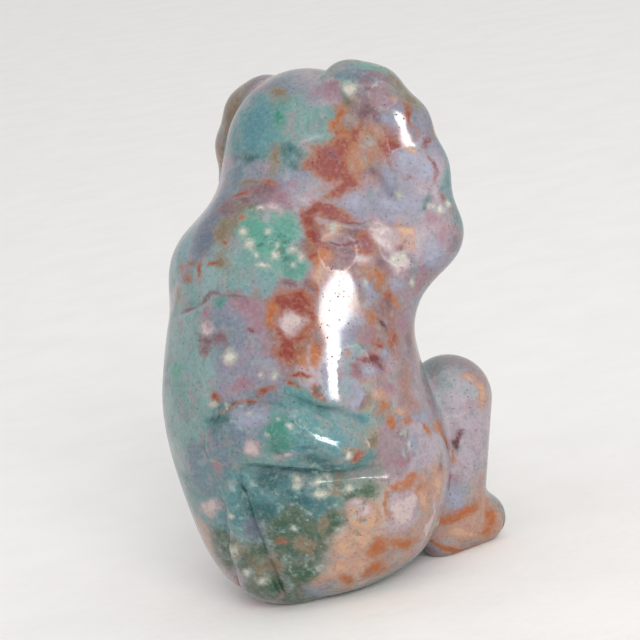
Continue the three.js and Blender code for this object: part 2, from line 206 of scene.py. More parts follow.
def forearm(side):
    def place(out, y, z, radius):
        tuck = LEFT_TUCK_AT_HAND + LEFT_TUCK_PER_MM_DOWN * (40 - z) if side == LEFT else 0
        drop = LEFT_DROP if side == LEFT else 0
        return [side * (out - tuck), y - tuck / 3, z - drop], radius

    elbow = place(10.4, -6.2, ELBOW_HEIGHT, 2.9)
    middle = place(10.0, -6.6, 33.0, FOREARM_RADIUS)
    wrist = place(9.0, -6.6, 36.6, FOREARM_RADIUS)
    palm = place(7.0, -6.5, 39.1, FOREARM_RADIUS)
    fingertips = place(5.4, -6.2, 40.1, 2.6)
    return chain([elbow, middle, wrist, palm, fingertips], 1)


def leg(side):
    shin = limb([side * 7.7, -8.7, KNEE_HEIGHT], [side * 7.1, -6.9, 4.2], KNEE_RADIUS, 3.1)
    foot = limb([side * 6.6, -6.0, 1.9], [side * 8.3, -9.2, 2.0], 2.4, 2.2)
    return join(1.2, shin, foot)


def both_sides(make):
    return [make(RIGHT), make(LEFT)]


body = join(2.5, join(2.5, torso(), *both_sides(haunch)), head(), *both_sides(upper_arm))
limbs = [face(), *both_sides(leg), *both_sides(forearm)]
figure = join(0.7, body, *limbs)


def slope_of(form, points, step=0.01):
    slope = np.empty_like(points)
    for axis in range(3):
        nudge = np.zeros(3)
        nudge[axis] = step
        slope[:, axis] = (form(points + nudge) - form(points - nudge)) / (2 * step)
    return slope


def settle(form, points, rounds):
    points = np.array(points, float)
    for _ in range(rounds):
        slope = slope_of(form, points)
        share = form(points) / (np.einsum("ij,ij->i", slope, slope) + 1e-9)
        points = points - share[:, None] * slope
    return points


def under_skin(form, bearings_and_heights, depths):
    bearing = np.radians([row[0] for row in bearings_and_heights])
    height = np.array([row[1] for row in bearings_and_heights], float)
    out = np.stack([-np.sin(bearing), np.cos(bearing)], 1)
    axis = np.array([0, BACK_AXIS_Y])
    reach = np.full(len(out), 20.0)
    for _ in range(60):
        reach -= 0.7 * form(np.column_stack([out * reach[:, None] + axis, height]))
    return np.column_stack([out * (reach - depths)[:, None] + axis, height])


def tail_chain(rows):
    half_width = np.array([row[2] for row in rows])
    relief = np.array([row[3] for row in rows])
    radius = 1 / (2 * relief / half_width**2 + 1 / BACK_RADIUS)
    middle = under_skin(body, rows, radius - relief)
    return chain(list(zip(middle, radius)), 0.6)


def tail():
    strip = tail_chain([
        [-8, 1.6, 2.1, 0.3],
        [-6, 3.6, 2.1, STRIP_RELIEF],
        [-5, 6.2, 1.8, STRIP_RELIEF],
        [-1, 8.8, 1.3, STRIP_RELIEF],
        [1, 11.2, 1.1, STRIP_RELIEF],
        [5, 13.6, 1.4, STRIP_RELIEF],
    ])
    leaf = tail_chain([
        [0, 15.2, 1.7, TAIL_RELIEF],
        [10, 15.9, 2.5, TAIL_RELIEF],
        [24, 16.1, 2.8, TAIL_RELIEF],
        [39, 15.2, 2.8, TAIL_RELIEF],
        [53, 14.1, 2.3, TAIL_RELIEF],
        [64, 13.3, 1.3, TAIL_RELIEF],
    ])
    return join(0.6, strip, leaf)


# Where the photograph's pixels fall on the surface


def view_axes():
    azimuth, elevation = math.radians(VIEW_AZIMUTH), math.radians(VIEW_ELEVATION)
    roll = math.radians(VIEW_ROLL)
    level = np.array([math.cos(azimuth), math.sin(azimuth), 0])
    back = np.array([
        math.sin(azimuth) * math.cos(elevation),
        -math.cos(azimuth) * math.cos(elevation),
        math.sin(elevation),
    ])
    upright = np.cross(back, level)
    right = level * math.cos(roll) - upright * math.sin(roll)
    up = upright * math.cos(roll) + level * math.sin(roll)
    return right, up, back


VIEW_RIGHT, VIEW_UP, VIEW_BACK = view_axes()
VIEW_PLACE = np.array(VIEW_TARGET) + VIEW_DISTANCE * VIEW_BACK
MM_PER_PIXEL = VIEW_DISTANCE / FOCAL_PIXELS


def cast(pixels, form):
    """The points of the form that the pixels show"""
    pixels = np.array(pixels, float) - IMAGE_SIZE / 2
    rays = pixels[:, :1] * VIEW_RIGHT - pixels[:, 1:] * VIEW_UP - FOCAL_PIXELS * VIEW_BACK
    rays /= lengths(rays)[:, None]
    reach = np.full(len(rays), VIEW_DISTANCE - 25.0)
    for _ in range(160):
        reach += 0.7 * form(VIEW_PLACE + reach[:, None] * rays)
        reach = np.minimum(reach, VIEW_DISTANCE + 30.0)
    return VIEW_PLACE + reach[:, None] * rays


def tangents(normal, angle_deg, half_width, half_height):
    """Two arrows in the surface that look like a patch's half axes in the photograph"""
    turn = math.radians(angle_deg)
    ways = [
        math.cos(turn) * VIEW_RIGHT - math.sin(turn) * VIEW_UP,
        -math.sin(turn) * VIEW_RIGHT - math.cos(turn) * VIEW_UP,
    ]
    facing = max(normal @ VIEW_BACK, 0.35)
    arrows = []
    for way, half in zip(ways, (half_width, half_height)):
        arrow = (way - (normal @ way) / facing * VIEW_BACK) * half * MM_PER_PIXEL
        arrows.append(arrow - normal * (normal @ arrow))
    return arrows


# The cuts of the carver's wheel


def nearest_on(route, points):
    steps = np.diff(route, axis=0)
    spans = lengths(steps)
    starts = np.concatenate([[0], np.cumsum(spans)[:-1]])
    nearest = np.full(len(points), np.inf)
    along = np.zeros(len(points))
    for corner, step, span, start in zip(route, steps, spans, starts):
        share = np.clip((points - corner) @ step / span**2, 0, 1)
        gap = lengths(points - corner - share[:, None] * step)
        closer = gap < nearest
        nearest[closer] = gap[closer]
        along[closer] = start + share[closer] * span
    return nearest, along, spans.sum()


def cut(route, width, depth, edge=1.5, fades=(None, None)):
    """A groove along the route, or a soft ridge where the depth is less than zero"""
    route = np.array(route, float)
    low, high = route.min(0) - width / 2, route.max(0) + width / 2

    def groove(points):
        result = np.zeros(len(points))
        near = np.all((points > low) & (points < high), axis=1)
        nearest, along, length = nearest_on(route, points[near])
        across = np.minimum(2 * nearest / width, 1)
        result[near] = depth * (1 - across**2) ** edge
        for fade, from_end in zip(fades, (along, length - along)):
            fade = fade or min(width * 1.5, length / 3)
            share = np.minimum(1, (from_end + 0.2 * fade) / fade)
            result[near] *= share**2 * (3 - 2 * share)
        return result

    return groove


def along_back(rows):
    return under_skin(figure, rows, np.zeros(len(rows)))


def on_figure(route):
    return settle(figure, route, 6)


UNDER_LEAF = along_back([[6, 13.1], [16, 12.9], [28, 12.4], [40, 11.8], [52, 11.2], [64, 10.9], [72, 11.1]])
OVER_LEAF = along_back([[-6, 16.8], [2, 18.2], [12, 18.9], [24, 19.1], [39, 18.2], [54, 16.7], [66, 14.6]])
LEAF_ROOT = along_back([[-8, 16.8], [-10, 15.2], [-11, 13.4]])
STRIP_RIGHT = along_back([[6, 12.6], [6, 10.5], [6, 8.2], [7, 5.8], [8, 3.4], [8, 1.2]])
STRIP_LEFT = along_back([[-6, 11.6], [-8, 8.8], [-14, 6.4], [-17, 4.2], [-22, 1.2]])
ACROSS_SHOULDERS = along_back([[-40, 25.2], [-22, 25.9], [-7, 26.9], [4, 27.1], [14, 26.9], [24, 26.1]])
NAPE = on_figure([[3.6, 0.2, 35.9], [2.4, 1.1, 36.2], [0.6, 1.5, 36.7], [-1.0, 1.4, 36.6]])
OVER_ARM = [[-6.8, 1.7, 31.2], [-8.2, 1.0, 30.9], [-9.6, -0.6, 30.2], [-11.0, -2.4, 29.8], [-12.6, -4.2, 29.3]]
BESIDE_ARM = [[-5.0, -4.2, 41.3], [-7.2, -3.8, 39.0], [-8.8, -3.6, 36.6], [-10.4, -3.8, 34.0], [-11.8, -4.0, 30.8]]


def on_left(route):
    return [[-0.86 * x, y, z - LEFT_DROP] for x, y, z in route]


def tail_cuts():
    return [
        cut(UNDER_LEAF, 1.9, 0.9),
        cut(OVER_LEAF, 1.5, 0.35),
        cut(LEAF_ROOT, 1.5, 0.25),
        cut(STRIP_RIGHT, 1.4, 0.4),
        cut(STRIP_LEFT, 1.4, 0.3),
    ]


def body_cuts():
    return [
        cut(ACROSS_SHOULDERS, 1.3, 0.22),
        cut(NAPE, 1.4, 0.25),
        cut(on_figure(OVER_ARM), 1.2, 0.35),
        cut(on_figure(on_left(OVER_ARM)), 1.3, 0.4),
        cut(on_figure(BESIDE_ARM), 1.5, 0.25),
        cut(on_figure(on_left(BESIDE_ARM)), 1.5, 0.4),
    ]


def face_cuts():
    corner, middle = [2.9, -12.9, 32.2], [1.5, -14.4, 31.8]
    mouth = [[-corner[0], *corner[1:]], [-middle[0], *middle[1:]], [0, -14.9, 31.8], middle, corner]
    cuts = [cut(on_figure(mouth), 0.9, 0.5)]
    for s in (RIGHT, LEFT):
        eye = [[s * 2.0, -12.4, 36.3], [s * 2.7, -12.1, 36.3]]
        nostril = [[s * 0.7, -14.9, 34.2], [s * 1.0, -14.8, 34.0]]
        cheek = [[s * 4.0, -11.4, 36.8], [s * 4.4, -11.2, 34.6], [s * 3.9, -11.2, 32.4], [s * 2.6, -11.4, 30.6]]
        cuts.append(cut(on_figure(eye), 1.7, 0.8))
        cuts.append(cut(on_figure(nostril), 0.9, 0.4))
        cuts.append(cut(on_figure(cheek), 1.3, 0.4))
    return cuts


def toe_cuts():
    cuts = []
    for s in (RIGHT, LEFT):
        for share in (0, 0.5, 1):
            x, y = s * (7.4 + 1.8 * share), -10.9 + 1.4 * share
            toe = [[x - s * 0.3, y + 1.6, 3.6], [x, y, 2.2], [x + s * 0.1, y - 0.2, 0.4]]
            cuts.append(cut(on_figure(toe), 0.8, 0.4))
    return cuts


# Routes that the photograph shows, as columns and rows of its pixels

CHEST_SWELL = [(288, 300), (338, 300), (388, 300)]
FLANK_FLAT = [(346, 250), (344, 290), (340, 330), (338, 352)]
FLANK_RIDGE = [(337, 290), (332, 325), (328, 350), (324, 380), (320, 414)]
LOWER_FLANK = [(352, 330), (350, 360), (346, 390), (342, 415)]
LEAF_CREST = [(262, 430), (290, 436), (315, 442), (340, 450), (362, 461)]
BESIDE_HAND = [(350, 108), (370, 138), (390, 168), (412, 205)]
UPPER_FOREARM = [(366, 66), (380, 92), (394, 120), (408, 150), (416, 166)]
FOREARM_BELLY = [(408, 158), (428, 164), (448, 172)]
FOREARM_CREST = [(424, 156), (431, 180), (435, 208)]
ARM_CREASE = [(340, 98), (364, 128), (386, 158), (404, 186), (418, 208)]
CREASE_END = [(374, 148), (390, 172), (406, 196)]
SHOULDER_ARCH = [(176, 318), (190, 309), (203, 301), (218, 296), (234, 296), (248, 303)]


def seen(pixels):
    return cast(pixels, raised)


def swellings():
    """Low soft ridges, and one flat, that the polished skin has over the plainer form"""
    return [
        cut(seen(CHEST_SWELL), 8.0, -0.3, 2.5, (3, 3)),
        cut(seen(FLANK_FLAT), 6.0, 0.15, 1.5, (1.5, 4)),
        cut(seen(FLANK_RIDGE), 6.5, -0.42, 2.5, (9, 1)),
        cut(seen(LOWER_FLANK), 6.0, -0.08, 2.5, (4, 1.5)),
        cut(seen(LEAF_CREST), 4.4, -0.55, 2),
        cut(seen(LEAF_CREST), 1.5, -0.3, 1.6),
        cut(seen(BESIDE_HAND), 4.6, -0.2, 2),
        cut(seen(UPPER_FOREARM), 6.0, -0.15, 2.5, (1, 1.5)),
        cut(seen(FOREARM_BELLY), 4.0, -0.2, 2.5),
        cut(seen(FOREARM_CREST), 2.4, -0.2, 2.5),
    ]


def arm_fills():
    """Fills that leave the crease inside the forearm nearly closed"""
    return [cut(seen(ARM_CREASE), 3.0, -0.32, 2), cut(seen(CREASE_END), 3.0, -0.5, 2)]


def crease_cuts():
    """Thin sharp lines at the bottom of the broad cuts"""
    return [
        cut(UNDER_LEAF, 0.7, 0.22, 1),
        cut(OVER_LEAF, 0.6, 0.16, 1),
        cut(STRIP_RIGHT, 0.6, 0.2, 1),
        cut(STRIP_LEFT, 0.6, 0.12, 1),
        cut(ACROSS_SHOULDERS, 0.5, 0.08, 1),
        cut(on_figure(OVER_ARM), 0.6, 0.12, 1),
        cut(seen(SHOULDER_ARCH), 0.8, 0.06, 1),
    ]


trunk = round_below(join(0.35, body, tail()), BASE_ROUNDING_FLOOR, BASE_ROUNDING)
raised = join(0.7, trunk, *limbs)
broad_cuts = tail_cuts() + body_cuts() + face_cuts() + toe_cuts() + arm_fills()
fine_cuts = crease_cuts()
all_cuts = broad_cuts + fine_cuts + swellings()


def stone(points):
    result = raised(points)
    for groove in all_cuts:
        result = result + groove(points)
    return result


def block(points):
    return np.maximum(stone(points), -points[:, 2])


# The surface: a net of points, one in each cell that the surface crosses


def sample(form, low, high):
    coarse = CELL * COARSE_CELLS
    count = np.ceil((high - low) / coarse).astype(int)
    places = np.stack(np.meshgrid(*[np.arange(n) for n in count], indexing="ij"), -1)
    centres = low + (places.reshape(-1, 3) + 0.5) * coarse
    rough = form(centres).reshape(count)
    values = rough
    for axis in range(3):
        values = np.repeat(values, COARSE_CELLS, axis)
    near = np.argwhere(np.abs(values) < BAND)
    values[tuple(near.T)] = form(low + (near + 0.5) * CELL)
    return values, low + 0.5 * CELL


def surface_net(values, low):
    shape = np.array(values.shape)
    inside = values < 0
    corners = [(i, j, k) for i in (0, 1) for j in (0, 1) for k in (0, 1)]
    mask = np.zeros(shape - 1, np.int32)
    for bit, (i, j, k) in enumerate(corners):
        part = inside[i : shape[0] - 1 + i, j : shape[1] - 1 + j, k : shape[2] - 1 + k]
        mask += part.astype(np.int32) << bit
    crossed = (mask > 0) & (mask < 255)
    cells = np.argwhere(crossed)
    number = np.full(mask.shape, -1, np.int64)
    number[crossed] = np.arange(len(cells))
    at = np.stack([values[tuple((cells + corner).T)] for corner in corners], 1)
    total, crossings = np.zeros((len(cells), 3)), np.zeros(len(cells))
    for a, start in enumerate(corners):
        for b, end in enumerate(corners):
            way = np.array(end) - np.array(start)
            if b <= a or np.abs(way).sum() != 1:
                continue
            crosses = (at[:, a] < 0) != (at[:, b] < 0)
            share = at[crosses, a] / (at[crosses, a] - at[crosses, b])
            total[crosses] += np.array(start) + share[:, None] * way
            crossings[crosses] += 1
    points = low + (cells + total / crossings[:, None]) * CELL
    return points, net_triangles(inside, number)


def net_triangles(inside, number):
    quads = []
    for axis in range(3):
        lower = inside.take(range(inside.shape[axis] - 1), axis)
        upper = inside.take(range(1, inside.shape[axis]), axis)
        u, v = [other for other in range(3) if other != axis]
        for leaving, changes in ((True, lower & ~upper), (False, ~lower & upper)):
            edges = np.argwhere(changes)
            ring = []
            for du, dv in ((0, 0), (1, 0), (1, 1), (0, 1)):
                cell = edges.copy()
                cell[:, u] -= du
                cell[:, v] -= dv
                ring.append(number[tuple(cell.T)])
            if leaving == (axis == 1):
                ring = [ring[0], ring[3], ring[2], ring[1]]
            quads.append(np.stack(ring, 1))
    quads = np.concatenate(quads)
    return np.concatenate([quads[:, [0, 1, 2]], quads[:, [0, 2, 3]]])


def refine(points, triangles, near):
    """Halves the sides of the triangles whose corners are marked as near"""
    marked = near[triangles]
    count = marked.sum(1)
    full = triangles[count == 3]
    first = np.argmin(marked[count == 2], axis=1)
    partly = triangles[count == 2]
    rows = np.arange(len(partly))
    half = np.stack([partly[rows, (first + turn) % 3] for turn in (1, 2, 0)], 1)
    total = len(points)
    sides = [full[:, [0, 1]], full[:, [1, 2]], full[:, [2, 0]], half[:, [0, 1]]]
    sides = [np.sort(side, 1) for side in sides]
    codes = [side[:, 0] * total + side[:, 1] for side in sides]
    known = np.unique(np.concatenate(codes))
    middles = (points[known // total] + points[known % total]) / 2
    m01, m12, m20, m_half = [total + np.searchsorted(known, code) for code in codes]
    new = [
        triangles[count < 2],
        np.stack([full[:, 0], m01, m20], 1),
        np.stack([full[:, 1], m12, m01], 1),
        np.stack([full[:, 2], m20, m12], 1),
        np.stack([m01, m12, m20], 1),
        np.stack([half[:, 0], m_half, half[:, 2]], 1),
        np.stack([m_half, half[:, 1], half[:, 2]], 1),
    ]
    return np.concatenate([points, middles]), np.concatenate(new)


# Patches of colour on the surface


def patch_share(points, centre, normal, arrows):
    """1 in the middle of a patch, 0 at its edge, and less outside"""
    offset = points - centre
    low = np.array([a @ b for a in arrows for b in arrows]).reshape(2, 2)
    mixed = np.stack([offset @ arrow for arrow in arrows], 1)
    across = mixed @ np.linalg.inv(low)
    depth = offset @ normal / (1.2 + lengths(np.array(arrows)).mean())
    return 1 - np.sqrt((across**2).sum(1) + depth**2)


def raise_share(share, points, centre, normal, arrows):
    """Raises the share of the points that this patch reaches, with alike edges for large and small"""
    sizes = lengths(np.array(arrows))
    near = np.all(np.abs(points - centre) < 2.2 * max(sizes.max(), 0.5), axis=1)
    steepness = math.sqrt(sizes.mean() / EVEN_SIZE)
    new = steepness * patch_share(points[near], centre, normal, arrows)
    share[near] = np.maximum(share[near], new)


def place_on_surface(lists):
    """The rows of each list with the place and the normal of the surface at their pixel"""
    centres = cast([row[:2] for rows in lists.values() for row in rows], stone)
    normals = slope_of(raised, centres, 0.3)
    normals /= lengths(normals)[:, None]
    spots = iter(zip(centres, normals))
    return {name: [(row, *next(spots)) for row in rows] for name, rows in lists.items()}


def paint_patches(points, placed):
    """The largest share that any patch has of each point"""
    share = np.full(len(points), -1.0)
    for (_, _, half_width, half_height, angle), centre, normal in placed:
        arrows = tangents(normal, angle, half_width * SPREAD, half_height * SPREAD)
        raise_share(share, points, centre, normal, arrows)
    return share


def wobble(points, wavelength, amount, picker, waves=10):
    """A smooth random shift of each point, so that no edge follows an ellipse"""
    shift = np.zeros_like(points)
    for _ in range(waves):
        way = picker.normal(size=3)
        way *= 2 * math.pi * picker.uniform(0.7, 1.5) / wavelength / lengths(way)
        push = picker.normal(size=3) * amount / math.sqrt(waves)
        shift += np.sin(points @ way + picker.uniform(0, 2 * math.pi))[:, None] * push
    return shift


# Colours of the stone, as red, green and blue from 0 to 255

COLOURS = {
    "slate": (118, 136, 152),
    "teal": (96, 148, 150),
    "sea": (122, 164, 160),
    "pale_sea_and_rim_reflection": (148, 176, 176),
    "lavender": (150, 146, 164),
    "lilac": (188, 174, 184),
    "rose_grey": (164, 144, 150),
    "mauve": (146, 122, 132),
    "sage": (144, 156, 146),
    "moss": (94, 110, 92),
    "olive": (128, 122, 100),
    "stone_blue": (146, 162, 172),
    "salmon": (194, 156, 138),
    "peach_wash": (210, 184, 166),
    "deep_sea": (76, 126, 130),
    "russet": (158, 114, 102),
    "clay": (168, 122, 106),
    "caramel": (178, 130, 104),
}

# Broad washes of colour, as column, row and radius in the photograph's pixels

WASHES = {
    "teal": [
        (255, 122, 18), (262, 145, 14), (290, 438, 18), (330, 440, 22), (355, 452, 10), (236, 512, 16),
        (258, 480, 14), (225, 500, 10), (186, 246, 8), (207, 470, 10), (204, 505, 8),
    ],
    "deep_sea": [(275, 505, 24), (295, 525, 16), (268, 478, 10), (315, 505, 12), (222, 418, 8)],
    "sea": [
        (285, 118, 14), (305, 132, 16), (318, 120, 10), (240, 284, 14), (195, 345, 18), (182, 385, 16),
        (186, 420, 16), (262, 462, 14), (240, 262, 12), (350, 418, 12), (240, 535, 10), (350, 500, 10),
        (195, 300, 8),
    ],
    # Pale sea-green of the stone; the washes at the left edge also paint the pale reflection that the polish shows
    # along that rim
    "pale_sea_and_rim_reflection": [
        (168, 300, 10), (172, 262, 8), (166, 350, 9), (169, 400, 9), (176, 450, 8), (205, 285, 9),
        (196, 346, 14), (198, 374, 14), (222, 270, 13), (188, 318, 10),
        (182, 340, 12), (184, 420, 12), (204, 300, 9),
    ],
    "caramel": [(366, 150, 13), (352, 132, 9), (376, 168, 9), (342, 112, 8), (350, 190, 7)],
    "russet": [(276, 322, 12), (280, 346, 10), (300, 300, 8), (312, 330, 6), (330, 250, 9), (352, 264, 8)],
    "clay": [
        (378, 296, 14), (380, 322, 14), (392, 345, 10), (404, 378, 12), (378, 374, 12), (354, 276, 8),
        (412, 402, 9), (366, 262, 8), (424, 284, 10),
    ],
    "slate": [
        (290, 80, 12), (236, 176, 12), (203, 232, 14), (225, 330, 16), (250, 392, 12), (236, 442, 16),
        (200, 462, 12), (214, 482, 10), (352, 74, 8), (256, 528, 9), (368, 290, 8), (210, 200, 10),
        (310, 93, 9), (300, 172, 8), (244, 105, 6),
    ],
    "lavender": [
        (258, 170, 10), (296, 184, 10), (250, 325, 16), (240, 370, 18), (244, 414, 12), (405, 160, 16),
        (392, 204, 16), (350, 250, 10), (398, 120, 7), (205, 222, 8), (226, 312, 10), (350, 330, 8),
    ],
    "lilac": [
        (318, 92, 12), (300, 76, 12), (270, 78, 9), (300, 206, 12), (425, 172, 10), (430, 245, 18), (390, 376, 14), (460, 405, 20),
        (474, 450, 14), (446, 382, 16), (405, 505, 12), (420, 440, 14), (424, 200, 10), (320, 370, 8), (240, 390, 7),
        (415, 395, 9),
    ],
    "rose_grey": [
        (412, 330, 9), (414, 372, 10), (424, 404, 10), (442, 362, 12), (466, 364, 10), (440, 222, 14), (390, 440, 14), (322, 204, 9), (310, 285, 12), (404, 300, 10), (470, 372, 10),
        (430, 376, 8), (404, 345, 10),
        (250, 308, 8), (345, 192, 8), (208, 316, 6), (418, 360, 8), (340, 235, 9),
    ],
    "mauve": [(430, 392, 12), (370, 96, 13), (404, 262, 10), (412, 344, 10), (452, 240, 9), (385, 325, 8), (262, 190, 8)],
    "sage": [(404, 88, 9), (374, 404, 12), (366, 492, 12), (272, 158, 7), (360, 420, 10), (222, 268, 8)],
    "olive": [(228, 112, 12), (224, 146, 10), (234, 100, 14), (226, 125, 12), (236, 216, 9), (338, 488, 7), (262, 560, 12), (225, 232, 7)],
    "moss": [
        (222, 562, 9), (234, 584, 9), (258, 597, 9), (292, 600, 9), (315, 560, 10),
        (310, 545, 14), (305, 528, 12), (332, 520, 10), (240, 555, 10), (285, 580, 14), (300, 560, 12), (226, 545, 8),
    ],
    "stone_blue": [(456, 498, 12), (348, 392, 10), (250, 290, 8), (345, 412, 9), (352, 345, 9), (320, 590, 8)],
    "salmon": [(432, 488, 12), (462, 530, 26), (384, 552, 14), (410, 546, 12), (330, 585, 9), (430, 525, 9)],
    "peach_wash": [(366, 520, 14), (350, 545, 12), (340, 560, 12), (375, 508, 10), (358, 565, 12)],
}

# Blots of each kind, as column, row, half width, half height and angle in the photograph's pixels

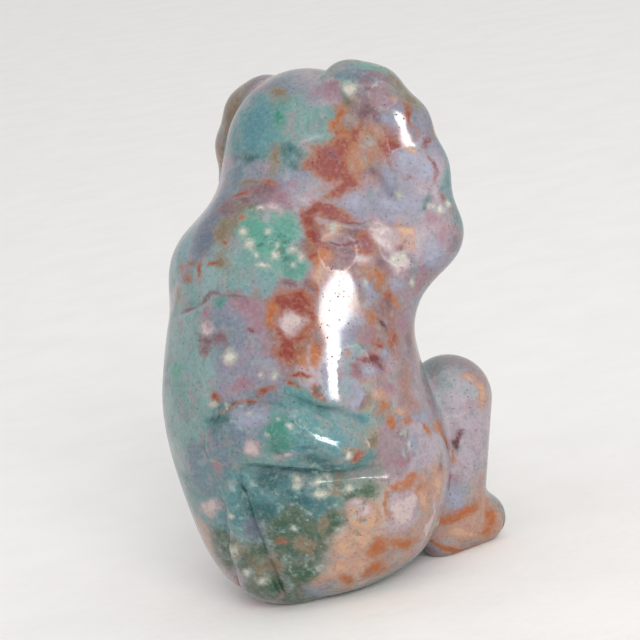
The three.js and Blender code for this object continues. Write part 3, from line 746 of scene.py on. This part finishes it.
BLOTS = {
    "sea_blue": [
        (255, 125, 13, 26, 25), (186, 247, 4, 7, 20), (226, 148, 4, 8, 10), (235, 520, 8, 10, 0),
        (300, 449, 13, 9, 0), (349, 520, 5, 6, 0), (360, 418, 9, 7, 0), (244, 476, 8, 5, 0),
        (223, 505, 4, 13, 0), (340, 442, 12, 9, 20), (262, 500, 12, 8, 0),
    ],
    "mint": [
        (256, 232, 12, 20, -35), (283, 228, 15, 15, 30), (272, 246, 17, 20, -40), (294, 264, 12, 13, -30),
        (371, 66, 13, 4, 12),
        (344, 85, 4, 6, 0), (176, 370, 5, 8, 0), (213, 508, 3, 4, 0),
    ],
    "sea_green": [
        (275, 427, 12, 10, 10), (281, 441, 13, 9, 0), (280, 115, 5, 12, 12), (292, 262, 6, 8, 0), (222, 300, 3, 4, 0),
    ],
    "deep_teal": [
        (288, 151, 6, 6, 0), (296, 161, 9, 6, 35), (251, 158, 9, 5, -10), (219, 420, 11, 5, -15),
        (270, 479, 11, 7, 0), (315, 460, 9, 5, 0), (300, 471, 34, 3, 2), (423, 202, 4, 4, 0),
        (262, 512, 20, 12, 0), (213, 424, 6, 6, 0), (300, 500, 14, 9, 10), (330, 466, 12, 3, 5),
        (282, 525, 12, 6, 0), (246, 492, 3, 8, -15),
    ],
    "bottle_green": [
        (290, 530, 20, 13, -10), (333, 522, 14, 8, -30), (295, 518, 7, 8, 0), (316, 532, 9, 7, 0), (290, 548, 16, 6, 0),
        (352, 498, 10, 6, 0), (300, 572, 14, 7, 0), (262, 548, 10, 6, 0), (230, 545, 6, 8, 0),
        (367, 490, 7, 5, 0), (272, 588, 12, 5, 15),
    ],
    "slate_spot": [(203, 236, 9, 13, 10), (254, 527, 7, 6, 0), (208, 222, 13, 5, -40), (219, 205, 5, 12, 30)],
    "tan": [
        (278, 92, 7, 8, 0), (275, 158, 5, 12, 0), (250, 183, 9, 4, 0), (225, 231, 7, 9, 20),
        (220, 262, 6, 9, 0), (346, 101, 5, 6, 0), (398, 83, 9, 4, 45), (410, 98, 4, 10, -30),
        (338, 488, 9, 6, 0), (323, 521, 5, 5, 0), (300, 346, 5, 4, 0), (230, 100, 8, 26, 25),
        (178, 292, 3, 6, 0), (257, 296, 3, 4, 0), (352, 455, 8, 4, 30), (372, 440, 8, 8, 0),
        (270, 565, 10, 6, 0), (366, 400, 10, 6, 0), (234, 552, 7, 5, 0), (304, 545, 8, 5, 0),
    ],
    "mauve_brown": [
        (364, 112, 10, 9, 20), (374, 119, 5, 5, 0), (394, 95, 6, 5, 30), (374, 88, 8, 3, 0),
        (352, 234, 11, 6, 0), (345, 251, 14, 5, 5), (388, 305, 8, 6, 0), (190, 309, 11, 1.6, -33),
        (210, 298, 10, 1.8, -18), (238, 298, 11, 1.8, 14), (409, 340, 4, 12, 0), (357, 369, 7, 6, -30),
        (220, 339, 6, 8, 0), (209, 340, 8, 6, 0), (205, 349, 5, 5, 0), (286, 283, 8, 5, 0),
        (262, 190, 9, 4, 0), (245, 200, 9, 4, -10), (368, 176, 9, 4, 0), (312, 288, 5, 8, 0),
        (330, 258, 7, 4, 0), (396, 165, 4, 5, 0), (410, 175, 4, 4, 0), (380, 262, 8, 5, 0),
        (348, 262, 8, 3, 0), (362, 400, 5, 4, 0), (226, 208, 8, 6, -30), (430, 262, 6, 10, 10),
    ],
    "rust": [
        (330, 162, 20, 17, 10), (324, 173, 11, 9, 0), (344, 149, 7, 11, 20), (348, 181, 9, 9, 0),
        (337, 192, 11, 4, -10), (391, 146, 9, 9, 30), (391, 158, 3, 5, 0), (355, 136, 6, 11, 20),
        (311, 222, 7, 10, -20), (314, 236, 6, 10, -20), (321, 249, 6, 9, -15), (328, 212, 15, 5, 5),
        (365, 240, 9, 7, 20), (346, 219, 12, 3, 6),
        (316, 256, 6, 4, 0), (371, 235, 4, 7, 0), (362, 247, 6, 3, 30), (291, 304, 19, 8, 5), (302, 334, 8, 6, 0), (277, 320, 6, 14, 0), (308, 318, 6, 11, 10),
        (308, 313, 5, 9, 10), (281, 331, 8, 7, 20), (286, 353, 10, 9, -20), (289, 342, 6, 6, 0),
        (316, 287, 3, 6, 10), (315, 392, 4, 6, 0), (322, 398, 5, 3, 30), (291, 385, 5, 3, 0),
        (265, 390, 5, 3, 0), (215, 396, 4, 5, 0), (298, 376, 12, 2, -5), (381, 342, 5, 4, 0),
        (392, 338, 2, 6, 0), (388, 298, 5, 5, 0), (190, 266, 3, 3, 0), (182, 269, 2, 5, 0),
        (198, 270, 2, 5, 0), (187, 279, 4, 3, 0), (211, 262, 5, 2, -30), (227, 245, 3, 4, 0),
        (358, 459, 5, 3, -35), (268, 182, 4, 5, 0), (238, 195, 8, 2, -15), (410, 116, 3, 9, -20),
        (282, 542, 3, 2, 0), (233, 408, 10, 2, -12), (252, 401, 8, 2, -15), (300, 358, 5, 7, 0),
        (340, 136, 5, 8, 0), (313, 208, 9, 5, -20),
    ],
    "orange": [
        (337, 118, 4, 9, 15), (274, 312, 4, 14, 0), (316, 353, 4, 10, 0), (377, 279, 3, 9, -20),
        (373, 316, 4, 6, 0), (347, 351, 3, 5, 0), (397, 303, 4, 5, 0), (418, 133, 2, 5, 0),
        (409, 479, 9, 5, -15), (398, 486, 5, 4, 0), (392, 513, 5, 5, 0), (387, 500, 3, 9, 0),
        (376, 547, 13, 8, -10), (404, 544, 13, 6, 0), (374, 568, 12, 7, -15), (440, 428, 4, 6, -25),
        (446, 440, 3, 12, -25), (452, 455, 2, 9, -10), (409, 419, 5, 5, 0),
        (390, 422, 2, 9, -10), (384, 404, 3, 5, 0), (346, 580, 6, 5, 0), (460, 515, 24, 5, -22),
        (490, 520, 8, 16, 0), (462, 550, 34, 2, -6), (421, 490, 6, 8, 0), (240, 217, 3, 3, 0),
        (320, 262, 5, 8, 10), (345, 133, 3, 6, 0),
        (362, 340, 3, 3, 0), (305, 362, 4, 6, 0), (426, 430, 3, 8, -30),
    ],
    "maroon": [
        (401, 244, 3, 5, 0), (370, 360, 11, 3, 5), (380, 367, 5, 3, 20),
        (358, 371, 5, 5, 0), (441, 473, 2, 8, 10), (251, 332, 5, 2, 20),
        (427, 142, 3, 6, 0), (435, 168, 3, 9, -15), (443, 197, 3, 5, 0), (334, 155, 4, 4, 0),
        (406, 458, 3, 4, 0), (318, 238, 2, 6, -20), (346, 243, 24, 1.6, 5), (357, 221, 10, 1, 6),
    ],
    "rose": [
        (291, 186, 4, 3, 0), (281, 198, 9, 4, 35), (248, 306, 14, 5, 10), (256, 322, 6, 10, 0),
        (217, 467, 4, 4, 0), (404, 438, 5, 9, -20), (409, 449, 4, 6, 0), (398, 462, 8, 7, 0),
        (413, 507, 2, 8, 0), (208, 316, 3, 8, 15), (354, 394, 3, 7, 0), (330, 90, 8, 6, 0),
        (424, 270, 5, 12, 10), (388, 388, 6, 4, 0), (366, 335, 6, 4, 0), (404, 322, 4, 8, 0),
        (430, 215, 4, 10, -10), (338, 375, 4, 5, 0), (440, 245, 3, 12, 5), (244, 384, 8, 4, -10),
    ],
    "lavender_blue": [
        (407, 159, 12, 9, 30), (424, 172, 6, 6, 0), (353, 203, 8, 8, 0), (385, 354, 6, 7, 0),
        (370, 371, 8, 4, 0), (250, 418, 15, 8, 0), (454, 500, 9, 11, 20), (398, 205, 16, 9, 0),
        (368, 290, 5, 9, -20), (350, 282, 4, 8, 0), (434, 256, 8, 12, 10), (385, 120, 6, 6, 0),
        (355, 395, 5, 9, 0), (330, 385, 5, 12, 0), (398, 285, 5, 6, 0),
        (345, 335, 6, 9, 20), (389, 181, 6, 13, -20), (412, 445, 6, 6, 0), (420, 415, 8, 5, 0),
    ],
    "peach": [
        (404, 230, 9, 9, 40), (412, 241, 4, 8, -20),
        (364, 517, 14, 12, 0), (361, 538, 10, 8, 0), (425, 500, 5, 13, 0), (438, 483, 7, 11, 10),
        (322, 272, 4, 8, 20), (334, 228, 8, 7, 0), (462, 532, 17, 6, -8), (345, 550, 10, 8, 0),
        (399, 410, 8, 4, 0), (412, 148, 3, 8, -25), (345, 568, 8, 6, 0), (381, 395, 5, 4, 0),
        (396, 98, 5, 3, 45), (360, 562, 8, 4, 0), (483, 393, 4, 15, -12), (470, 379, 9, 3, 25),
    ],
    "blush": [
        (291, 323, 8, 9, -10), (399, 264, 5, 12, -22), (252, 448, 7, 6, 0), (413, 497, 6, 12, 5),
        (404, 510, 9, 15, 10), (210, 508, 9, 8, 0), (229, 357, 3, 5, 0), (379, 229, 7, 7, -25), (388, 241, 5, 9, -25),
        (361, 510, 4, 4, 0), (209, 327, 5, 3, 0), (430, 520, 2, 22, 15),
        (275, 208, 6, 4, 30), (285, 455, 6, 2, 0), (356, 506, 5, 3, -20),
    ],
    "cream": [
        (230, 357, 5, 5, 0), (349, 88, 7, 6, 0), (333, 228, 3, 4, 0), (394, 259, 4, 4, 0), (250, 243, 4, 4, 0), (243, 232, 3, 3, 0), (260, 208, 3, 2, 0), (277, 246, 2, 2, 0),
        (275, 255, 3, 3, 0), (292, 249, 3, 2, 0), (301, 257, 2, 3, 0), (293, 265, 1.5, 1.5, 0),
        (263, 265, 5, 1.5, 10), (256, 255, 2, 2, 0), (268, 232, 1.5, 2, 0), (213, 404, 3, 2, 0),
        (226, 404, 1.5, 3, 0), (249, 414, 2, 1.5, 0), (278, 419, 1.5, 1.5, 0), (267, 435, 2, 1.5, 0),
        (289, 426, 2.5, 2, 0), (298, 478, 5, 3, 10), (297, 487, 3, 3, 0), (318, 481, 5, 3, -20),
        (319, 494, 6, 3, 0), (327, 476, 3, 3, 0), (399, 195, 3, 3, 0), (441, 209, 3, 3, 0),
        (431, 206, 3, 1.5, 0), (448, 204, 2, 2, 0), (412, 283, 1.5, 3, 0), (366, 283, 1.5, 3, 0),
        (332, 228, 1.5, 2.5, 0), (349, 456, 2, 3, 0), (438, 524, 2.5, 2.5, 0), (233, 551, 4, 4, 0),
        (231, 516, 2, 2, 0), (262, 581, 4, 3, 0), (246, 573, 3, 3, 0), (320, 568, 4, 3, 0),
        (294, 528, 2, 2, 0), (339, 529, 3, 2, 0), (349, 489, 2.5, 2.5, 0), (404, 434, 2, 3, 0),
        (409, 446, 1.5, 3, 0), (275, 376, 3, 3, 0), (261, 375, 2, 2, 0), (403, 256, 3, 4, 0),
    ],
    "dark_maroon": [(459, 440, 3.5, 9, 5), (383, 325, 2, 6, -15), (318, 346, 1.5, 2, 0)],
}

# Where the stone is finely speckled

SPECKLED = [
    (262, 505, 34, 34, 0), (300, 500, 36, 28, 10), (235, 545, 22, 26, 0), (285, 560, 34, 26, 0),
    (325, 470, 22, 12, 0), (350, 500, 20, 16, 0), (360, 520, 16, 22, 0), (275, 245, 18, 18, 0),
    (240, 415, 20, 14, 0), (300, 440, 26, 16, 0), (404, 440, 8, 18, -20), (315, 390, 18, 20, 0),
]

# Where the polish is dull

DULL = [
    (372, 158, 15, 34, -12), (380, 199, 26, 11, 0), (384, 219, 58, 10, 0), (406, 190, 12, 16, 0),
    (432, 192, 18, 46, 0), (428, 234, 22, 20, 0), (408, 244, 24, 18, 0), (338, 250, 15, 15, 0),
    (456, 391, 20, 20, 0), (438, 398, 14, 16, -20), (330, 412, 36, 8, 14), (332, 425, 31, 11.5, 17), (354, 446, 12, 10, 0), (364, 428, 10, 7, 25), (357, 382, 16, 30, -8), (314, 378, 11, 18, 0),
    (383, 95, 11, 11, 0), (340, 176, 44, 34, 14), (410, 164, 18, 14, 0),
    (350, 489, 50, 6, -4), (334, 218, 14, 8, 0),
]

# For each kind: its colour in the middle and at the rim, how ragged and how soft its edge is,
# and how many there are out of sight

KINDS = {
    "sea_blue": ((92, 144, 152), (112, 156, 162), 0.6, 0.55, 16),
    "mint": ((102, 166, 148), (128, 174, 164), 0.55, 0.4, 9),
    "sea_green": ((72, 142, 124), (100, 152, 142), 0.55, 0.5, 6),
    "deep_teal": ((62, 108, 110), (88, 126, 130), 0.65, 0.5, 18),
    "bottle_green": ((74, 104, 86), (104, 114, 92), 0.7, 0.55, 12),
    "slate_spot": ((106, 118, 136), (120, 120, 134), 0.55, 0.6, 8),
    "tan": ((138, 120, 98), (150, 136, 116), 0.75, 0.6, 22),
    "mauve_brown": ((126, 98, 104), (146, 116, 122), 0.65, 0.5, 24),
    "rust": ((148, 70, 48), (170, 104, 74), 0.6, 0.42, 34),
    "orange": ((186, 108, 60), (182, 128, 98), 0.65, 0.45, 26),
    "maroon": ((116, 60, 66), (150, 96, 104), 0.55, 0.4, 14),
    "rose": ((164, 124, 138), (164, 132, 144), 0.75, 0.7, 18),
    "lavender_blue": ((164, 168, 188), (156, 156, 174), 0.6, 0.65, 18),
    "peach": ((214, 172, 144), (192, 150, 132), 0.65, 0.5, 14),
    "blush": ((216, 196, 194), (192, 170, 174), 0.6, 0.4, 12),
    "cream": ((222, 218, 204), (186, 190, 180), 0.8, 0.5, 60),
    "dark_maroon": ((84, 46, 52), (120, 74, 80), 0.3, 0.3, 4),
}


def linear(colour):
    """From the photograph's numbers to amounts of light"""
    share = np.array(colour) / 255
    return np.where(share > 0.04045, ((share + 0.055) / 1.055) ** 2.4, share / 12.92)


def own_colour(colour):
    """The stone's own colour, without the pale room that its polish mirrors"""
    return np.clip(linear(colour) - MIRRORED, 0.003, 1) / DAYLIGHT


def stone_colour(*colour):
    return [*own_colour(colour), 1]


# Building the carving


def hidden_spots(points, normals, count, picker):
    """Random places on the sides that the photograph doesn't show"""
    unseen = np.flatnonzero((normals @ VIEW_BACK < 0.05) & (points[:, 2] > 0.3))
    return unseen[picker.randint(0, len(unseen), count)]


def hidden_share(points, normals, name, count, picker):
    share = np.full(len(points), -1.0)
    small, large = (0.15, 0.35) if name == "cream" else (0.5, 1.7)
    for spot in hidden_spots(points, normals, count, picker):
        first = np.cross(normals[spot], picker.normal(size=3))
        first /= lengths(first)
        second = np.cross(normals[spot], first)
        half_width = picker.uniform(small, large)
        half_height = half_width * picker.uniform(0.4, 1.0)
        arrows = [first * half_width, second * half_height]
        raise_share(share, points, points[spot], normals[spot], arrows)
    return share


def wash_colours(points, normals, picker):
    """The broad soft colours, blended from the washes around each point"""
    total = np.zeros((len(points), 3))
    weights = np.zeros(len(points))

    def add(centre, radius, name):
        weight = np.exp(-((points - centre) ** 2).sum(1) / radius**2) + 1e-12
        total[:] += weight[:, None] * own_colour(COLOURS[name])
        weights[:] += weight

    for name, placed in place_on_surface(WASHES).items():
        for (_, _, radius), centre, _ in placed:
            add(centre, radius * MM_PER_PIXEL * 1.1, name)
    names = ["sea", "teal", "slate", "lavender", "lilac", "rose_grey", "mauve", "sage", "salmon", "deep_sea"]
    for spot in hidden_spots(points, normals, 130, picker):
        add(points[spot], picker.uniform(1.2, 2.4), names[picker.randint(len(names))])
    return total / weights[:, None]


def carve(small_spots):
    low = np.array([-15.0, -16.5, -1.2])
    high = np.array([13.5, 14.5, 44.0])
    values, first = sample(block, low, high)
    points, triangles = surface_net(values, first)
    creased = np.zeros(len(points))
    for groove in fine_cuts:
        creased += groove(points)
    near = (creased > 0) | (paint_patches(points, small_spots) > -1)
    points, triangles = refine(points, triangles, near)
    return settle(block, points, SETTLING_ROUNDS), triangles


def keep_in_box(points):
    box = np.array(cad_box) / METRES
    return np.clip(points, box[0] + 0.002, box[1] - 0.002)


def add_numbers(mesh, name, values):
    attribute = mesh.attributes.new(name, "FLOAT", "POINT")
    attribute.data.foreach_set("value", values.astype(np.float32))


def add_colours(mesh, name, colours):
    attribute = mesh.attributes.new(name, "FLOAT_COLOR", "POINT")
    full = np.column_stack([colours, np.ones(len(colours))])
    attribute.data.foreach_set("color", full.astype(np.float32).ravel())


def make_carving():
    blots = place_on_surface(BLOTS)
    points, triangles = carve(blots["cream"])
    points = keep_in_box(points)
    normals = slope_of(stone, points, 0.3)
    normals /= lengths(normals)[:, None] + 1e-9
    mesh = bpy.data.meshes.new("polished_monkey")
    mesh.from_pydata((points * METRES).tolist(), [], triangles.tolist())
    mesh.polygons.foreach_set("use_smooth", np.ones(len(triangles), bool))
    picker = np.random.RandomState(7)
    shifted = points + wobble(points, 2.6, 0.22, picker) + wobble(points, 1.1, 0.1, picker)
    add_colours(mesh, "wash", wash_colours(shifted, normals, picker))
    for name, placed in blots.items():
        shown = paint_patches(points if name == "cream" else shifted, placed)
        unseen = hidden_share(shifted, normals, name, KINDS[name][4], picker)
        add_numbers(mesh, "blot_" + name, np.maximum(shown, unseen))
    add_numbers(mesh, "speckled", paint_patches(shifted, place_on_surface({"all": SPECKLED})["all"]))
    add_numbers(mesh, "dull", paint_patches(points, place_on_surface({"all": DULL})["all"]))
    # Depth of the grooves at each point, which the material turns into painted shade in the grooves
    depth = np.zeros(len(points))
    for groove in broad_cuts + fine_cuts:
        depth += groove(points)
    add_numbers(mesh, "painted_groove_shade", depth)
    mesh.update()
    piece = bpy.data.objects.new("polished_monkey", mesh)
    bpy.context.scene.collection.objects.link(piece)
    return piece


# Node helpers


class Nodes:
    """Adds shader nodes to one material and links them"""

    def __init__(self, tree):
        self.tree = tree

    def add(self, kind, **settings):
        node = self.tree.nodes.new("ShaderNode" + kind)
        for name, value in settings.items():
            setattr(node, name, value)
        return node

    def put(self, socket, value):
        if isinstance(value, bpy.types.NodeSocket):
            self.tree.links.new(value, socket)
        else:
            socket.default_value = value

    def maths(self, operation, *values):
        node = self.add("Math", operation=operation)
        for socket, value in zip(node.inputs, values):
            self.put(socket, value)
        return node.outputs[0]

    def ramp(self, value, low, high, to_low=0.0, to_high=1.0):
        node = self.add("MapRange", interpolation_type="SMOOTHSTEP")
        for name, given in (("Value", value), ("From Min", low), ("From Max", high)):
            self.put(node.inputs[name], given)
        self.put(node.inputs["To Min"], to_low)
        self.put(node.inputs["To Max"], to_high)
        return node.outputs["Result"]

    def blend(self, share, first, second, kind="MIX"):
        node = self.add("Mix", data_type="RGBA", blend_type=kind)
        self.put(node.inputs["Factor"], share)
        self.put(node.inputs[6], first)
        self.put(node.inputs[7], second)
        return node.outputs[2]

    def number(self, name):
        return self.add("Attribute", attribute_name=name).outputs["Fac"]

    def noise(self, place, per_mm, detail=3.0, roughness=0.6, offset=0.0, distortion=0.0):
        node = self.add("TexNoise", noise_dimensions="4D")
        self.put(node.inputs["Vector"], place)
        self.put(node.inputs["W"], offset)
        self.put(node.inputs["Scale"], per_mm / METRES)
        self.put(node.inputs["Detail"], detail)
        self.put(node.inputs["Roughness"], roughness)
        self.put(node.inputs["Distortion"], distortion)
        return node.outputs["Fac"]

    def spots(self, place, per_mm, radius, rarity):
        """1 in small round spots, in a share of the cells that gets less as rarity grows"""
        node = self.add("TexVoronoi", feature="F1")
        self.put(node.inputs["Vector"], place)
        self.put(node.inputs["Scale"], per_mm / METRES)
        near = self.ramp(node.outputs["Distance"], radius * 0.5, radius, 1.0, 0.0)
        parts = self.add("SeparateColor")
        self.put(parts.inputs[0], node.outputs["Color"])
        chosen = self.maths("GREATER_THAN", parts.outputs[0], rarity)
        return self.maths("MULTIPLY", near, chosen)


def new_material(name):
    material = bpy.data.materials.new(name)
    material.use_nodes = True
    nodes = Nodes(material.node_tree)
    return material, nodes, material.node_tree.nodes["Principled BSDF"]


def jasper():
    material, nodes, shader = new_material("jasper")
    place = nodes.add("TexCoord").outputs["Object"]
    colour = nodes.add("Attribute", attribute_name="wash").outputs["Color"]
    ragged = [nodes.noise(place, 0.75, 6, 0.62, 20.0 + turn) for turn in range(4)]
    frayed = [nodes.noise(place, 2.6, 4, 0.65, 40.0 + turn) for turn in range(3)]
    clouds = [nodes.noise(place, 1.2, 5, 0.65, 60.0 + turn) for turn in range(3)]
    speckled = nodes.ramp(nodes.number("speckled"), -0.4, 0.4)

    plain = nodes.maths("SUBTRACT", 1.0, nodes.maths("MULTIPLY", speckled, 0.8))
    parts = nodes.add("SeparateColor")
    nodes.put(parts.inputs[0], colour)
    cool = nodes.ramp(nodes.maths("SUBTRACT", parts.outputs[1], parts.outputs[0]), -0.07, 0.02)

    def drift(source, low, high, strength, shade, where=1.0):
        share = nodes.maths("MULTIPLY", nodes.ramp(source, low, high, 0, strength), where)
        return nodes.blend(share, colour, stone_colour(*shade))

    colour = drift(ragged[0], 0.5, 0.64, 0.45, (112, 134, 142))
    colour = drift(ragged[1], 0.5, 0.62, 0.5, (172, 142, 150), plain)
    colour = drift(ragged[2], 0.5, 0.64, 0.5, (164, 174, 178))
    colour = drift(ragged[3], 0.52, 0.64, 0.5, (126, 158, 150), cool)

    for index, (name, (middle, rim, edge, soft, _)) in enumerate(KINDS.items()):
        broad = nodes.maths("MULTIPLY", nodes.maths("SUBTRACT", ragged[index % 4], 0.5), 2.2 * edge)
        small = nodes.maths("MULTIPLY", nodes.maths("SUBTRACT", frayed[index % 3], 0.5), 2.2 * edge)
        share = nodes.maths("ADD", nodes.number("blot_" + name), nodes.maths("ADD", broad, small))
        tone = nodes.maths("ADD", share, nodes.maths("MULTIPLY", clouds[index % 3], 2.4))
        both = nodes.blend(nodes.ramp(tone, 1.1, 1.9), stone_colour(*rim), stone_colour(*middle))
        halo = nodes.ramp(share, -0.9, 0.2, 0, HALO)
        colour = nodes.blend(halo, colour, stone_colour(*rim))
        colour = nodes.blend(nodes.ramp(share, -soft, soft + 0.1, 0, 0.92), colour, both)

    fine = nodes.noise(place, 3.2, 2, 0.6, 90.0)
    mottled = nodes.noise(place, 1.5, 2, 0.5, 95.0)
    pale = nodes.maths("MULTIPLY", nodes.ramp(mottled, 0.54, 0.72), nodes.maths("ADD", 0.15, speckled))
    colour = nodes.blend(nodes.maths("MULTIPLY", pale, 0.55), colour, stone_colour(160, 194, 188))
    dark = nodes.maths("MULTIPLY", nodes.ramp(clouds[1], 0.52, 0.66), nodes.maths("ADD", 0.15, speckled))
    colour = nodes.blend(nodes.maths("MULTIPLY", dark, 0.6), colour, stone_colour(72, 100, 100))
    colour = drift(frayed[0], 0.54, 0.7, 0.18, (176, 142, 136), plain)
    colour = drift(frayed[2], 0.54, 0.7, 0.3, (120, 146, 148), cool)
    colour = drift(fine, 0.5, 0.7, 0.15, (204, 196, 192))
    colour = drift(fine, 0.5, 0.3, 0.22, (92, 92, 98))
    specks = nodes.spots(place, 0.9, 0.12, 0.6)
    shown = nodes.maths("MULTIPLY", nodes.maths("MULTIPLY", specks, speckled), 0.6)
    colour = nodes.blend(shown, colour, stone_colour(214, 218, 206))
    pores = nodes.maths("MAXIMUM", nodes.spots(place, 5.0, 0.25, 0.85), nodes.spots(place, 2.3, 0.2, 0.7))
    colour = nodes.blend(nodes.maths("MULTIPLY", pores, 0.5), colour, stone_colour(84, 80, 84))
    # Painted shade: the deeper the groove, the more its colour darkens towards (80, 88, 90), standing in for the shade
    # in the grooves
    depth = nodes.ramp(nodes.number("painted_groove_shade"), 0.12, 0.9, 0, 0.45)
    colour = nodes.blend(depth, colour, stone_colour(80, 88, 90))

    nodes.put(shader.inputs["Base Color"], colour)
    worn = nodes.maths("ADD", nodes.number("dull"), nodes.maths("SUBTRACT", frayed[0], 0.5))
    dull = nodes.ramp(worn, -0.3, 0.0, 0.19, 0.9)
    nodes.put(shader.inputs["Roughness"], nodes.maths("MAXIMUM", dull, pores))
    shader.inputs["IOR"].default_value = 1.58
    bump = nodes.add("Bump")
    bump.inputs["Strength"].default_value = 0.8
    bump.inputs["Distance"].default_value = 0.05 * METRES
    nodes.put(bump.inputs["Height"], nodes.maths("SUBTRACT", nodes.maths("MULTIPLY", fine, 0.03), pores))
    nodes.put(shader.inputs["Normal"], bump.outputs["Normal"])
    return material


def table():
    material, nodes, shader = new_material("pale_table")
    place = nodes.add("TexCoord").outputs["Object"]
    cloudy = nodes.noise(place, 0.12, 4, 0.6)
    colour = nodes.blend(nodes.ramp(cloudy, 0.3, 0.7), (0.84, 0.825, 0.805, 1), (0.87, 0.855, 0.835, 1))
    nodes.put(shader.inputs["Base Color"], colour)
    shader.inputs["Roughness"].default_value = 0.8
    shader.inputs["Specular IOR Level"].default_value = 0.1
    bump = nodes.add("Bump")
    bump.inputs["Strength"].default_value = 0.25
    bump.inputs["Distance"].default_value = 0.3 * METRES
    nodes.put(bump.inputs["Height"], nodes.noise(place, 0.8, 5, 0.6, 4.0))
    nodes.put(shader.inputs["Normal"], bump.outputs["Normal"])
    return material


# Floor, light and camera


def make_floor():
    half = 3.0
    corners = [(-half, -half, 0), (half, -half, 0), (half, half, 0), (-half, half, 0)]
    mesh = bpy.data.meshes.new("table_top")
    mesh.from_pydata(corners, [], [(0, 1, 2, 3)])
    mesh.materials.append(table())
    floor = bpy.data.objects.new("table_top", mesh)
    floor.location.z = -0.00002
    bpy.context.scene.collection.objects.link(floor)


def direction(azimuth, elevation):
    azimuth, elevation = math.radians(azimuth), math.radians(elevation)
    level = math.cos(elevation)
    return Vector((math.sin(azimuth) * level, -math.cos(azimuth) * level, math.sin(elevation)))


def make_panel(name, place, facing, sizes, radiance, colour):
    """A bright oval panel that faces the carving, with its place and sizes in millimetres"""
    width, height = [size * METRES for size in sizes]
    light = bpy.data.lights.new(name, "AREA")
    light.shape = "ELLIPSE"
    light.size = width
    light.size_y = height
    light.energy = radiance * math.pi**2 / 4 * width * height
    light.color = colour
    lamp = bpy.data.objects.new(name, light)
    lamp.location = Vector(place) * METRES
    lamp.rotation_euler = direction(*facing).to_track_quat("Z", "Y").to_euler()
    lamp.visible_camera = False
    bpy.context.scene.collection.objects.link(lamp)
    return lamp


def make_lights():
    white = (1.0, 0.985, 0.97)
    flank_card = make_panel("flank_card", (-42.6, 12.4, 28.5), (256, 5), (25, 31), 17, white)
    arm_card = make_panel("arm_card", (-34.5, 6.0, 53), (245, 30), (18, 26), 17, white)
    for card in (flank_card, arm_card):
        card.visible_diffuse = False
    soft_light = make_panel("soft_light", (-584, 440, 345), (233, 24), (450, 400), 9.5, (1.0, 0.975, 0.95))
    soft_light.visible_glossy = False
    world = bpy.data.worlds.new("soft_room")
    world.use_nodes = True
    background = world.node_tree.nodes["Background"]
    background.inputs["Color"].default_value = (0.985, 0.99, 1.0, 1)
    background.inputs["Strength"].default_value = 0.83
    bpy.context.scene.world = world


def make_camera():
    camera = bpy.data.cameras.new("camera")
    camera.sensor_width = SENSOR_WIDTH
    camera.lens = FOCAL_PIXELS / IMAGE_SIZE * SENSOR_WIDTH
    camera.clip_start = 0.005
    eye = bpy.data.objects.new("camera", camera)
    axes = np.eye(4)
    axes[:3, 0], axes[:3, 1], axes[:3, 2] = VIEW_RIGHT, VIEW_UP, VIEW_BACK
    axes[:3, 3] = VIEW_PLACE * METRES
    eye.matrix_world = Matrix(axes.tolist())
    bpy.context.scene.collection.objects.link(eye)
    bpy.context.scene.camera = eye


make_camera()
carving = make_carving()
carving.data.materials.append(jasper())
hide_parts("monkey_carving")
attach(carving, "root")
make_floor()
make_lights()
bpy.context.scene.view_settings.view_transform = "Standard"
print("carving", len(carving.data.vertices), len(carving.data.polygons))
